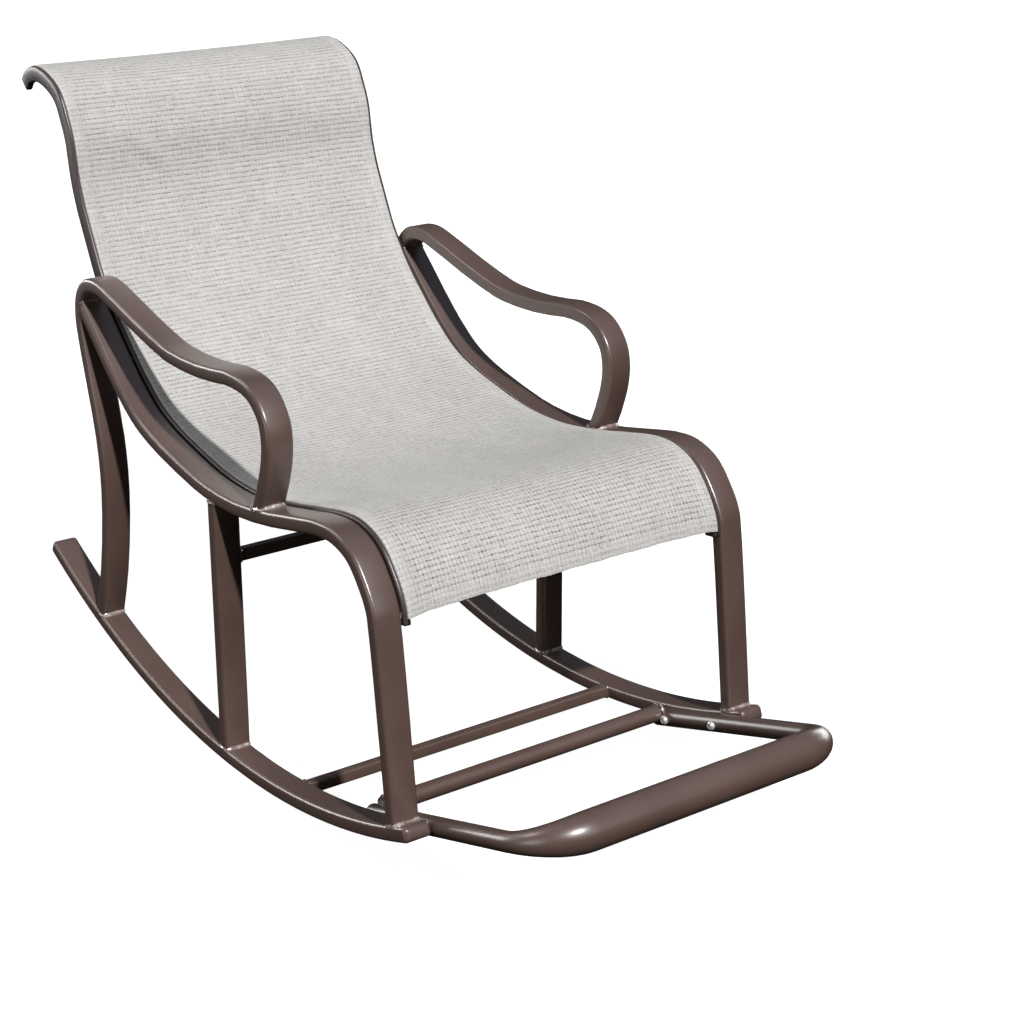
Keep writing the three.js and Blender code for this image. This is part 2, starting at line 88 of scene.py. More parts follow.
def pull_section(plane, line, rise=0):
    """Pulls the outline along a bent line in the plane of one side, square to the line at each place."""
    place, angle = line[0]
    bpy.ops.transform.translate(value=(plane, place.y - rise, place.z))
    bpy.ops.transform.rotate(value=angle, orient_axis="X", center_override=(plane, place.y, place.z))
    for next_place, next_angle in line[1:]:
        bpy.ops.mesh.extrude_region_move(TRANSFORM_OT_translate={"value": next_place - place})
        centre = (plane, next_place.y, next_place.z)
        bpy.ops.transform.rotate(value=next_angle - angle, orient_axis="X", center_override=centre)
        place, angle = next_place, next_angle


def trim(place, direction, around=None):
    """Saws off what lies beyond a place, or only what is near it, and closes the cut."""
    bpy.ops.mesh.select_all(action="SELECT")
    if around:
        bpy.ops.mesh.select_all(action="DESELECT")
        bpy.ops.mesh.select_mode(type="FACE")
        bpy.ops.object.mode_set(mode="OBJECT")
        for face in bpy.context.object.data.polygons:
            face.select = (face.center.yz - place.yz).length < around
        bpy.ops.object.mode_set(mode="EDIT")
    bpy.ops.mesh.bisect(plane_co=place, plane_no=direction, use_fill=True, clear_outer=True)
    bpy.ops.mesh.select_mode(type="VERT")


def leave_bench(material, slot, *nodes):
    """Ends the work on a piece: smooth sides, sharp ends, its finish, and the node that it stands for."""
    bpy.ops.mesh.select_all(action="SELECT")
    bpy.ops.mesh.normals_make_consistent(inside=False)
    bpy.ops.object.mode_set(mode="OBJECT")
    bpy.ops.object.shade_smooth_by_angle(angle=math.radians(35))
    piece = bpy.context.object
    piece.data.materials.clear()
    piece.data.materials.append(material)
    if nodes:
        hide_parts(*nodes)
    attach(piece, "root")


def new_finish(name, colour, roughness, metallic=0.0):
    """A material with one shader, returned with its node tree and that shader."""
    material = bpy.data.materials.new(name)
    material.use_nodes = True
    tree = material.node_tree
    shader = tree.nodes["Principled BSDF"]
    shader.inputs["Base Color"].default_value = (*colour, 1)
    shader.inputs["Roughness"].default_value = roughness
    shader.inputs["Metallic"].default_value = metallic
    return material, tree, shader


def link(tree, *sockets):
    """Links sockets in pairs, from and to."""
    for start, end in zip(sockets[::2], sockets[1::2]):
        tree.links.new(start, end)


def mottle(tree, shader, colours, scale, grain, depth):
    """Lets the colour wander between two tones in soft patches, and gives the surface a fine grain."""
    place = tree.nodes.new("ShaderNodeTexCoord")
    patches = tree.nodes.new("ShaderNodeTexNoise")
    patches.inputs["Scale"].default_value = scale
    patches.inputs["Detail"].default_value = 5
    tones = tree.nodes.new("ShaderNodeValToRGB")
    tones.color_ramp.elements[0].position = 0.3
    tones.color_ramp.elements[1].position = 0.7
    for element, colour in zip(tones.color_ramp.elements, colours):
        element.color = (*colour, 1)
    skin = tree.nodes.new("ShaderNodeTexNoise")
    skin.inputs["Scale"].default_value = grain
    skin.inputs["Detail"].default_value = 3
    bump = tree.nodes.new("ShaderNodeBump")
    bump.inputs["Strength"].default_value = 0.35
    bump.inputs["Distance"].default_value = depth
    spot = place.outputs["Object"]
    link(tree, spot, patches.inputs["Vector"], patches.outputs["Fac"], tones.inputs["Fac"])
    link(tree, tones.outputs["Color"], shader.inputs["Base Color"], spot, skin.inputs["Vector"])
    link(tree, skin.outputs["Fac"], bump.inputs["Height"], bump.outputs["Normal"], shader.inputs["Normal"])


coat, coat_tree, coat_shader = new_finish("bronze_powder_coat", (0.08, 0.049, 0.04), 0.38)
coat_shader.inputs["Specular IOR Level"].default_value = 0.6
coat_shader.inputs["Coat Weight"].default_value = 0.7
coat_shader.inputs["Coat Roughness"].default_value = 0.27
mottle(coat_tree, coat_shader, [(0.069, 0.042, 0.034), (0.09, 0.055, 0.045)], 9, 900, 0.0004)

rocker_line = []
for end in ("front", "rear"):
    way, radius, reach = rocker_arcs[end]
    tube_run = reach - stand_run - nose_length
    reaches = [stand_run + tube_run * step / arc_steps for step in range(arc_steps + 1)]
    arc = [rocker_spot(way * reach) for reach in reaches]
    rocker_line += arc[::-1] if end == "front" else arc

for side, way in sides.items():
    start_section(f"{side}_rocker_tube", tube_width, tube_thickness, tube_corner)
    pull_section(way * frame_plane, rocker_line)
    leave_bench(coat, "frame_coat", f"{side}_rocker")

# Both ends of each rocker are closed by a moulded brown plug. Only its nose shows, as wide as the tube and
# rounded over at the front; the stub behind it is pressed into the tube.
plug_plate = 0.0025
plug_gap = 0.0003
nose_round = 0.0078
nose_turns = [math.radians(turn) for turn in (15, 30, 45, 60, 75, 90)]
nose_draw_in = 0.97

brown_plastic, brown_tree, brown_shader = new_finish("brown_plug_plastic", (0.08, 0.05, 0.043), 0.34)
brown_shader.inputs["Specular IOR Level"].default_value = 0.6
mottle(brown_tree, brown_shader, [(0.07, 0.044, 0.038), (0.09, 0.057, 0.049)], 40, 1800, 0.0003)
plastic, plastic_tree, plastic_shader = new_finish("black_cap_plastic", (0.016, 0.013, 0.012), 0.45)
mottle(plastic_tree, plastic_shader, [(0.013, 0.011, 0.01), (0.02, 0.017, 0.016)], 40, 2200, 0.0002)


def set_down(turn, place):
    """Turns a piece that was made at the origin, puts it in its place, and goes on with its mesh."""
    bpy.ops.object.mode_set(mode="OBJECT")
    piece = bpy.context.object
    piece.rotation_euler = turn
    piece.location = place
    bpy.ops.object.transform_apply()
    bpy.ops.object.mode_set(mode="EDIT")


def pull_face(rise):
    """Pulls the selected face up, or down below 0."""
    bpy.ops.mesh.extrude_region_move(TRANSFORM_OT_translate={"value": (0, 0, rise)})


def round_rim(width):
    """Rounds the edges round the face that was pulled last."""
    bpy.ops.mesh.region_to_loop()
    bpy.ops.mesh.bevel(offset=width, segments=3, affect="EDGES")


def end_plate(name, width, height, corner, plane, place, angle, node, rise=0):
    """A plate with a rounded rim that closes a bar which ends at a place, running at an angle."""
    start_section(name, width, height, corner)
    ahead = heading(angle)
    pull_section(plane, [(place + ahead * plug_gap, angle), (place + ahead * plug_plate, angle)], rise)
    round_rim(plug_plate * 0.45)
    leave_bench(plastic, "plug_plastic", node)


def nose_plug(name, size, corner, depth, rounding, place, angle, material, node):
    """A plug for a flat bar, at a place and angle, whose front is rounded over on all sides."""
    start_section(name, *size, corner)
    pull_face(depth - rounding)
    old_size, old_rise = size, 0.0
    for turn in nose_turns:
        rise = rounding * math.sin(turn)
        new_size = [length - 2 * rounding * nose_draw_in * (1 - math.cos(turn)) for length in size]
        pull_face(rise - old_rise)
        shrink = (new_size[0] / old_size[0], new_size[1] / old_size[1], 1)
        bpy.ops.transform.resize(value=shrink, center_override=(0, 0, 0))
        old_size, old_rise = new_size, rise
    set_down((-angle, 0, 0), place)
    leave_bench(material, "plug_plastic", node)


nose_depth = nose_length + plug_plate - plug_gap
for side, way in sides.items():
    for end, (place, angle) in {"front": rocker_line[0], "rear": rocker_line[-1]}.items():
        outward = angle + math.pi if end == "front" else angle
        place = place + across(way * frame_plane) + heading(outward) * plug_gap
        node = f"{side}_rocker_{end}_plug"
        size = ((tube_width, tube_thickness), tube_corner, nose_depth, nose_round)
        nose_plug(f"{node}_nose", *size, place, outward, brown_plastic, node)

# Front leg and side rail are one tube: it rises from the rocker, bends back at the knee, follows the seat
# and climbs to the rear bend. The foot is coped to the rocker and the top to the rear tube before welding.
overall_depth = 1.39
overall_height = 0.954
front_foot_share = -0.294
front_leg_shares = [(0.218, 0.239)]
seat_shares = [
    (0.229, 0.367), (0.234, 0.406), (0.247, 0.439), (0.268, 0.471), (0.297, 0.486), (0.327, 0.485),
    (0.365, 0.474), (0.432, 0.454), (0.492, 0.444), (0.555, 0.447), (0.619, 0.464), (0.665, 0.481),
    (0.699, 0.501), (0.734, 0.536), (0.766, 0.577), (0.796, 0.619),
]
rail_top_shares = [(0.818, 0.649)]
curve_steps = 24


def profile(shares):
    """Points of the side view from shares of the chair's depth and height."""
    return [Vector((0, (depth - 0.5) * overall_depth, height * overall_height)) for depth, height in shares]


def bent_line(points, sharpest=math.radians(4), longest=0.05):
    """A smooth line through the points, as places and directions that lie closer together in the bends."""
    knots = [2 * points[0] - points[1], *points, 2 * points[-1] - points[-2]]
    fine = []
    for before, start, end, after in zip(knots, knots[1:], knots[2:], knots[3:]):
        spans = (start - before, end - start, after - end)
        back, here, on = (math.sqrt(span.length) for span in spans)
        handle = (back**2 * end - here**2 * before + (2 * back**2 + 3 * back * here + here**2) * start)
        handle /= 3 * back * (back + here)
        grip = (on**2 * start - here**2 * after + (2 * on**2 + 3 * on * here + here**2) * end)
        grip /= 3 * on * (on + here)
        fine += interpolate_bezier(start, handle, grip, end, curve_steps)[:-1]
    fine.append(points[-1])
    runs = [b - a for a, b in zip(fine, fine[1:])]
    ways = [runs[0], *(a.normalized() + b.normalized() for a, b in zip(runs, runs[1:])), runs[-1]]
    angles = [math.atan2(way.y, way.z) for way in ways]
    line = [(fine[0], angles[0])]
    for place, angle in zip(fine[1:], angles[1:]):
        turned = (angle - line[-1][1] + math.pi) % (2 * math.pi) - math.pi
        if abs(turned) > sharpest or (place - line[-1][0]).length > longest or place is fine[-1]:
            line.append((place, line[-1][1] + turned))
    return line


def on_top(line, place, lift):
    """The point above (or below, for a lift under 0) a line's nearest place, and the way up from the line."""
    spot, angle = min(line, key=lambda step: (step[0] - place).length)
    up = section_up(angle)
    return spot + up * lift, up


rear_foot_share = 0.325
rear_leg_shares = [
    (0.805, 0.184), (0.793, 0.265), (0.787, 0.349), (0.79, 0.422), (0.802, 0.499), (0.815, 0.569),
]
rear_bend_shares = [(0.822, 0.624), (0.817, 0.661), (0.801, 0.683), (0.776, 0.689)]
arm_shares = [
    (0.747, 0.681), (0.722, 0.671), (0.698, 0.661), (0.66, 0.647), (0.62, 0.635), (0.586, 0.632),
    (0.552, 0.633), (0.522, 0.637), (0.491, 0.643), (0.456, 0.64), (0.437, 0.628), (0.422, 0.604),
    (0.417, 0.574), (0.419, 0.542), (0.429, 0.497), (0.443, 0.453),
]
front_foot, front_foot_angle = rocker_spot(front_foot_share * overall_depth)
rear_foot, rear_foot_angle = rocker_spot(rear_foot_share * overall_depth)
front_leg_line = bent_line([front_foot, *profile(front_leg_shares + seat_shares + rail_top_shares)])
rear_leg_line = bent_line([rear_foot, *profile(rear_leg_shares + rear_bend_shares + arm_shares)])
half_tube = tube_thickness / 2
side_rail_line = bent_line(profile(seat_shares), math.radians(1), 0.004)
rail_end, rail_end_up = on_top(rear_leg_line, profile(rail_top_shares)[0], half_tube)

for side, way in sides.items():
    start_section(f"{side}_front_leg_tube", tube_width, tube_thickness, tube_corner)
    pull_section(way * frame_plane, front_leg_line)
    trim(front_foot + section_up(front_foot_angle) * half_tube, -section_up(front_foot_angle))
    trim(rail_end, -rail_end_up)
    leave_bench(coat, "frame_coat", f"{side}_front_leg_and_side_rail")

# The middle leg is a straight piece of the same flat tube. It stands upright between the rocker and the
# underside of the side rail, and both its ends are coped to them.
mid_foot_share = 0.0338
seat_level_share = 0.44
mid_foot, mid_foot_angle = rocker_spot(mid_foot_share * overall_depth)
under_seat = Vector((0, mid_foot.y, seat_level_share * overall_height))
mid_top, mid_top_up = on_top(side_rail_line, under_seat, -half_tube)

for side, way in sides.items():
    start_section(f"{side}_mid_leg_tube", tube_width, tube_thickness, tube_corner)
    pull_section(way * frame_plane, [(mid_foot, 0), (Vector((0, mid_foot.y, mid_top.z + half_tube)), 0)])
    trim(mid_foot + section_up(mid_foot_angle) * half_tube, -section_up(mid_foot_angle))
    trim(mid_top, mid_top_up)
    leave_bench(coat, "frame_coat", f"{side}_mid_leg")

# Rear leg and arm are one long tube as well: up from the rocker, round the rear bend, forward as the
# armrest and down in a tight loop to the side rail, where its foot is coped and welded.
arm_foot_zone = 0.06
arm_foot, arm_foot_up = on_top(side_rail_line, profile(arm_shares)[-1], half_tube)

for side, way in sides.items():
    start_section(f"{side}_rear_leg_and_arm_tube", tube_width, tube_thickness, tube_corner)
    pull_section(way * frame_plane, rear_leg_line)
    trim(rear_foot + section_up(rear_foot_angle) * half_tube, -section_up(rear_foot_angle))
    trim(arm_foot, -arm_foot_up, arm_foot_zone)
    leave_bench(coat, "frame_coat", f"{side}_rear_leg_and_arm")

# Fillet welds run round every joint of the tubes. Each is a lumpy bead of weld metal under the same coat,
# which is glossier on the beads at the feet; the pale patches in their colour are painted highlights.
foot_beads = {"front_foot": 0.0047, "mid_foot": 0.0042, "rear_foot": 0.0047, "arm_foot": 0.007}
thin_bead = 0.0024
side_bead = 0.0016
bead_lumps = 0.22
bead_runs = (0.02, 0.01, 0.005)
first_bead_seed = 7

weld_coat_painted_glints, weld_tree, weld_shader = new_finish("weld_with_painted_glints", (0.12, 0.085, 0.075), 0.2)
weld_shader.inputs["Specular IOR Level"].default_value = 0.8
weld_shader.inputs["Coat Weight"].default_value = 0.6
weld_shader.inputs["Coat Roughness"].default_value = 0.1
# Painted highlights: the pale second tone puts bright glints into the colour of the foot beads.
mottle(weld_tree, weld_shader, [(0.09, 0.057, 0.05), (0.42, 0.35, 0.32)], 130, 260, 0.0012)


def weld(name, plane, place, tilt, width, length, corner, bead_size, seed, standing=0.0, finish=coat):
    """A bead round the end of a tube, width by length, on a face that lies at a tilt or stands upright."""
    bpy.ops.object.select_all(action="DESELECT")
    bpy.ops.mesh.primitive_torus_add(
        major_radius=corner, minor_radius=bead_size, major_segments=24, minor_segments=8,
    )
    bead = bpy.context.object
    bead.name = name
    for axis, reach in ((0, width / 2 - corner), (1, length / 2 - corner)):
        for end in (-1, 1):
            bpy.ops.object.mode_set(mode="EDIT")
            bpy.ops.mesh.select_all(action="DESELECT")
            bpy.ops.object.mode_set(mode="OBJECT")
            for vertex in bead.data.vertices:
                vertex.select = vertex.co[axis] * end > 1e-5
            bpy.ops.object.mode_set(mode="EDIT")
            bpy.ops.transform.translate(value=[end * reach if index == axis else 0 for index in range(3)])
            bpy.ops.object.mode_set(mode="OBJECT")
    bead.rotation_mode = "ZYX"
    set_down((tilt, standing, 0), (plane, place.y, place.z))
    bpy.ops.mesh.select_mode(type="EDGE")
    for longest in bead_runs:
        bpy.ops.mesh.select_all(action="DESELECT")
        bpy.ops.object.mode_set(mode="OBJECT")
        for edge in bead.data.edges:
            start, end = (bead.data.vertices[index].co for index in edge.vertices)
            edge.select = (end - start).length > longest
        bpy.ops.object.mode_set(mode="EDIT")
        bpy.ops.mesh.subdivide(number_cuts=1, smoothness=0)
    bpy.ops.mesh.select_mode(type="VERT")
    bpy.ops.mesh.select_all(action="SELECT")
    bpy.ops.transform.vertex_random(offset=bead_size * bead_lumps, uniform=0.2, normal=0.8, seed=seed)
    bpy.ops.mesh.vertices_smooth(factor=0.5)
    leave_bench(finish, "frame_coat")


joints = {
    "front_foot": (front_leg_line[0], rocker_spot(front_foot.y), half_tube),
    "mid_foot": ((mid_foot, 0), rocker_spot(mid_foot.y), half_tube),
    "mid_top": ((mid_foot, 0), (mid_top, mid_top_up), 0),
    "rear_foot": (rear_leg_line[0], rocker_spot(rear_foot.y), half_tube),
    "arm_foot": (rear_leg_line[-1], (arm_foot, arm_foot_up), 0),
    "rail_end": (front_leg_line[-1], (rail_end, rail_end_up), 0),
}
weld_places = {}
for end, ((tube_place, tube_angle), (face, up), lift) in joints.items():
    up = up if isinstance(up, Vector) else section_up(up)
    ahead = heading(tube_angle)
    meeting = tube_place + ahead * ((face + up * lift - tube_place).dot(up) / ahead.dot(up))
    weld_places[end] = (meeting, math.atan2(up.z, up.y) - math.pi / 2, tube_thickness / abs(ahead.dot(up)))

for side, way in sides.items():
    for order, (end, (place, tilt, length)) in enumerate(weld_places.items()):
        bead = foot_beads.get(end, thin_bead)
        finish = weld_coat_painted_glints if end in foot_beads else coat
        size = (tube_width - 2 * (bead - side_bead), length, tube_corner, bead)
        seed = first_bead_seed + order
        weld(f"{side}_{end}_weld", way * frame_plane, place, tilt, *size, seed, finish=finish)

# Two square tubes tie the sides together: one between the middle legs, one low down between the rockers,
# where it leans with the rocker.
crossbar_size = 0.018
crossbar_corner = 0.003
mid_crossbar_share = 0.34
rocker_crossbar_share = -0.09
first_crossbar_seed = 21
inner_face = frame_plane - tube_width / 2
mid_crossbar_place = Vector((0, mid_foot.y, mid_crossbar_share * overall_height))
rocker_crossbar_place, rocker_crossbar_angle = rocker_spot(rocker_crossbar_share * overall_depth)


def cross_bar(node, section, place, tilt, reach):
    """A straight coated bar across the chair, from one side to the other."""
    width, height, corner = section
    start_section(f"{node}_tube", height, width, corner)
    bpy.ops.transform.rotate(value=-tilt, orient_axis="Z", center_override=(0, 0, 0))
    pull_face(2 * reach)
    set_down((0, math.pi / 2, 0), place - across(reach))
    leave_bench(coat, "frame_coat", node)


crossbars = {
    "mid_crossbar": (mid_crossbar_place, 0),
    "rocker_crossbar": (rocker_crossbar_place, math.pi / 2 - rocker_crossbar_angle),
}
crossbar_section = (crossbar_size, crossbar_size, crossbar_corner)
for node, (place, tilt) in crossbars.items():
    cross_bar(node, crossbar_section, place, tilt, inner_face)

for side, way in sides.items():
    for order, (node, (place, tilt)) in enumerate(crossbars.items()):
        bead = (thin_bead, first_crossbar_seed + order, math.pi / 2)
        weld(f"{side}_{node}_weld", way * inner_face, place, tilt, *crossbar_section, *bead)

# The foot bar is a round bar bent to a U that swells from its legs to its front. Its legs run along the
# inner sides of the rockers and a thinner round tube joins them at the rear.
foot_leg_radius = 0.014
foot_front_radius = 0.027
foot_bend = 0.078
foot_length = 0.4
foot_leg_plane = 0.2582
foot_tail = 0.03
foot_sink = 0.0034
foot_bend_steps = 14
foot_screw_shares = {"rear": -0.2212, "front": -0.2967}
foot_crossbar_radius = 0.013
foot_crossbar_inset = 0.014
foot_crossbar_rise = 0.01
foot_crossbar_seed = 31
foot_screw_spots = {end: rocker_spot(share * overall_depth)[0] for end, share in foot_screw_shares.items()}
foot_line = foot_screw_spots["front"] - foot_screw_spots["rear"]
foot_pitch = math.atan2(foot_line.z, -foot_line.y)


def foot_place(offset, run, rise=0.0):
    """A point at an offset across the chair, a run along the foot bar's legs, and a rise above them."""
    ahead = section_up(foot_pitch)
    up = heading(foot_pitch)
    start = foot_screw_spots["rear"] - ahead * foot_tail - up * foot_sink
    return start + ahead * run + up * rise + across(offset)


def start_round(name, radius, corners=32):
    """Draws a round outline at the origin and leaves it in edit mode."""
    bpy.ops.object.select_all(action="DESELECT")
    bpy.ops.mesh.primitive_circle_add(vertices=corners, radius=radius, fill_type="NGON")
    bpy.context.object.name = name
    bpy.ops.object.mode_set(mode="EDIT")


leg_end = foot_length - foot_bend
foot_half = [((foot_leg_plane, 0.0), 0.0, foot_leg_radius)]
for step in range(foot_bend_steps + 1):
    share = step / foot_bend_steps
    turn = share * math.pi / 2
    swell = share * share * (3 - 2 * share)
    spot = (foot_leg_plane - foot_bend * (1 - math.cos(turn)), leg_end + foot_bend * math.sin(turn))
    foot_half.append((spot, turn, foot_leg_radius + (foot_front_radius - foot_leg_radius) * swell))
foot_other = [((-spot[0], spot[1]), math.pi - turn, radius) for spot, turn, radius in reversed(foot_half)]

start_round("foot_bar_tube", foot_leg_radius)
spot, turn, radius = foot_half[0]
bpy.ops.transform.translate(value=(spot[0], spot[1], 0))
bpy.ops.transform.rotate(value=math.pi / 2, orient_axis="X", center_override=(spot[0], spot[1], 0))
for next_spot, next_turn, next_radius in foot_half[1:] + foot_other:
    step = (next_spot[0] - spot[0], next_spot[1] - spot[1], 0)
    bpy.ops.mesh.extrude_region_move(TRANSFORM_OT_translate={"value": step})
    centre = (next_spot[0], next_spot[1], 0)
    bpy.ops.transform.rotate(value=-(next_turn - turn), orient_axis="Z", center_override=centre)
    bpy.ops.transform.resize(value=(next_radius / radius,) * 3, center_override=centre)
    spot, turn, radius = next_spot, next_turn, next_radius
bpy.context.object.scale = (1, -1, 1)
set_down((-foot_pitch, 0, 0), foot_place(0, 0))
leave_bench(coat, "frame_coat", "foot_bar")

bar_reach = foot_leg_plane - foot_leg_radius / 2
left_end = foot_place(-bar_reach, foot_crossbar_inset, foot_crossbar_rise)
right_end = left_end + across(2 * bar_reach)
start_round("foot_crossbar_tube", foot_crossbar_radius)
bpy.ops.transform.rotate(value=math.pi / 2, orient_axis="Y", center_override=(0, 0, 0))
bpy.ops.transform.translate(value=left_end)
bpy.ops.mesh.extrude_region_move(TRANSFORM_OT_translate={"value": right_end - left_end})
leave_bench(coat, "frame_coat", "foot_crossbar")

bead_ring = foot_crossbar_radius + 0.001
bead_plane = foot_leg_plane - foot_leg_radius * 0.93
for side, way in sides.items():
    size = (2 * bead_ring, 2 * bead_ring, bead_ring, thin_bead, foot_crossbar_seed, math.pi / 2)
    weld(f"{side}_foot_crossbar_weld", way * bead_plane, left_end, 0, *size)

# Moulded domes close the rear ends of the foot bar's legs. They are black plastic, pressed into the tube,
# and only the rounded plate shows.
for side, way in sides.items():
    start_round(f"{side}_foot_bar_plug_dome", foot_leg_radius)
    pull_face(plug_plate)
    round_rim(plug_plate / 2)
    set_down((-math.pi / 2 - foot_pitch, 0, 0), foot_place(way * foot_leg_plane, -plug_gap))
    leave_bench(plastic, "plug_plastic", f"{side}_foot_bar_plug")

# The sling rails are drawn aluminium bars beside the frames, with a slot in the top. They stand a little
# proud of the frames, and go on alone up the back to a hook at the head.
rail_plane = 0.2667
rail_width = 0.011
rail_depth = 0.024
rail_corner = 0.003
rail_rise = 0.001
rail_top = rail_rise + rail_depth / 2
rail_land = 0.005
slot_mouth = 0.0026
slot_chamber = 0.0064
slot_lip = 0.0022
slot_shift = rail_land + slot_mouth / 2 - rail_width / 2
back_shares = [
    (0.815, 0.653), (0.832, 0.687), (0.851, 0.742), (0.865, 0.784), (0.876, 0.832), (0.883, 0.891),
    (0.892, 0.924), (0.906, 0.958), (0.93, 0.977), (0.957, 0.9845), (0.979, 0.976), (0.9885, 0.962),
]
rail_start_share = 0.0125
head_nose = 0.0046

# The rails' near-black brown is darker than the frame's coat; part of it is painted shade of the narrow gap
# between frame and sling.
rail_coat, rail_tree, rail_shader = new_finish("sling_rail_coat_and_painted_shade", (0.04, 0.028, 0.026), 0.36)
rail_shader.inputs["Specular IOR Level"].default_value = 0.6
mottle(rail_tree, rail_shader, [(0.035, 0.024, 0.022), (0.046, 0.032, 0.03)], 9, 900, 0.0003)

rail_fine = bent_line(profile(seat_shares + back_shares), 0.0, 0.0)


def along_rail(share):
    """Place and direction at a share of the rail's spans."""
    return rail_fine[round(share * (len(rail_fine) - 1))]


def rail_between(start, end, sharpest=math.radians(4), longest=0.05):
    """The rail's line between two shares, with places closer together in the bends."""
    first, last = (round(share * (len(rail_fine) - 1)) for share in (start, end))
    line = [rail_fine[first]]
    for place, angle in rail_fine[first + 1 : last + 1]:
        if abs(angle - line[-1][1]) > sharpest or (place - line[-1][0]).length > longest:
            line.append((place, angle))
    if line[-1][0] != rail_fine[last][0]:
        line.append(rail_fine[last])
    return line


rail_line = rail_between(rail_start_share, 1)
hook_end, head_angle = rail_line[-1]
head_place = hook_end - heading(head_angle) * head_nose
rail_line[-1] = (head_place, head_angle)

for side, way in sides.items():
    start_section(f"{side}_sling_rail_bar", rail_width, rail_depth, rail_corner, 3)
    middle = -way * slot_shift
    for cut in (slot_mouth / 2, -slot_mouth / 2, slot_chamber / 2, -slot_chamber / 2):
        bpy.ops.mesh.select_all(action="SELECT")
        bpy.ops.mesh.bisect(plane_co=(middle + cut, 0, 0), plane_no=(1, 0, 0))
    for cut in (slot_lip, slot_lip + slot_chamber):
        bpy.ops.mesh.select_all(action="SELECT")
        bpy.ops.mesh.bisect(plane_co=(0, cut - rail_depth / 2, 0), plane_no=(0, 1, 0))
    bpy.ops.object.mode_set(mode="OBJECT")
    for part in bpy.context.object.data.polygons:
        sunk = part.center.y + rail_depth / 2
        off = abs(part.center.x - middle)
        in_mouth = off < slot_mouth / 2 and sunk < slot_lip
        part.select = in_mouth or (off < slot_chamber / 2 and slot_lip < sunk < slot_lip + slot_chamber)
    bpy.ops.object.mode_set(mode="EDIT")
    bpy.ops.mesh.delete(type="FACE")
    bpy.ops.mesh.select_all(action="SELECT")
    pull_section(way * rail_plane, rail_line, rail_rise)
    leave_bench(rail_coat, "rail_coat", f"{side}_sling_rail")

# Small caps of black plastic close the rails: a flat one at the front hem, and one at the tip of the hook,
# whose end is rounded over.
hook_round = 0.0052
hook_depth = head_nose + plug_plate - plug_gap
front_place, front_angle = rail_line[0]
hook_place = head_place + heading(head_angle) * plug_gap + section_up(head_angle) * rail_rise
for side, way in sides.items():
    node = f"{side}_sling_rail_front_cap"
    spot = (way * rail_plane, front_place, front_angle + math.pi)
    end_plate(f"{node}_plate", rail_width, rail_depth, rail_corner, *spot, node, -rail_rise)
    node = f"{side}_sling_rail_head_cap"
    spot = (hook_place + across(way * rail_plane), head_angle)
    size = ((rail_width, rail_depth), rail_corner, hook_depth, hook_round)
    nose_plug(f"{node}_nose", *size, *spot, plastic, node)

# A plastic rod lies in the slot of each rail. It is extruded, pushed in from the end, and holds the hemmed
# edge of the sling there.
spline_plastic, spline_tree, spline_shader = new_finish("spline_rod_plastic", (0.03, 0.027, 0.027), 0.5)
mottle(spline_tree, spline_shader, [(0.026, 0.023, 0.023), (0.036, 0.032, 0.032)], 30, 1500, 0.0002)
for side in sides:
    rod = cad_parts[f"{side}_sling_spline"]
    rod.data.materials.clear()
    rod.data.materials.append(spline_plastic)

# Three flat bars of coated steel under the sling keep the rails apart and the sling tight: one below the
# thighs, one at the small of the back and one at the head.
spreader_section = (0.024, 0.012, 0.003)
spreader_sink = 0.004
spreader_shares = {"front": 0.144, "back": 0.616, "head": 0.915}
rail_inner_face = rail_plane - rail_width / 2
for end, share in spreader_shares.items():
    place, angle = along_rail(share)
    place = place - section_up(angle) * spreader_sink
    cross_bar(f"{end}_spreader", spreader_section, place, math.pi / 2 - angle, rail_inner_face)

# Screws hold the foot bar to the rockers and the sling rails to the frames. Their bright domed heads, each
# with a socket, face the middle of the chair, and they turn into flanged inserts in the tubes.
screw_head_radius = 0.0071
screw_head_height = 0.0052
head_side_share = 0.4
dome_steps = ((0.15, 0.35), (0.25, 0.2), (0.12, 0.0))
socket_share = 0.5
shank_inset_share = 0.5
screw_reach = 0.011
screw_corners = 24
insert_flange_radius = 0.007
insert_flange = 0.0012
steel_gap = 0.0003
sling_screw_shares = {"front": 0.023, "seat": 0.318, "rear": 0.51}

steel, steel_tree, steel_shader = new_finish("zinc_plated_steel", (0.8, 0.78, 0.76), 0.3, 0.6)
mottle(steel_tree, steel_shader, [(0.74, 0.72, 0.7), (0.88, 0.86, 0.84)], 160, 2600, 0.0001)


def fasten(name, way, head_seat, place):
    """A screw, from its socket head to its shank, and the flanged insert in the tube's wall."""
    seat = head_seat - steel_gap
    facing = (0, -way * math.pi / 2, 0)
    start_round(f"{name}_screw_steel", screw_head_radius, screw_corners)
    pull_face(screw_head_height * head_side_share)
    for inwards, upwards in dome_steps:
        bpy.ops.mesh.inset(thickness=screw_head_radius * inwards, depth=screw_head_height * upwards)
    pull_face(-screw_head_height * socket_share)
    bpy.ops.object.mode_set(mode="OBJECT")
    under = min(bpy.context.object.data.polygons, key=lambda part: part.center.z)
    for part in bpy.context.object.data.polygons:
        part.select = part.index == under.index
    bpy.ops.object.mode_set(mode="EDIT")
    bpy.ops.mesh.select_mode(type="FACE")
    bpy.ops.mesh.inset(thickness=screw_head_radius * shank_inset_share)
    pull_face(seat - inner_face - screw_reach)
    bpy.ops.mesh.select_mode(type="VERT")
    set_down(facing, (way * seat, place.y, place.z))
    leave_bench(steel, "bright_steel", f"{name}_screw")
    start_round(f"{name}_insert_steel", insert_flange_radius, screw_corners)
    pull_face(insert_flange)
    round_rim(insert_flange * 0.3)
    set_down(facing, (way * (inner_face - steel_gap), place.y, place.z))
    leave_bench(steel, "bright_steel", f"{name}_insert")


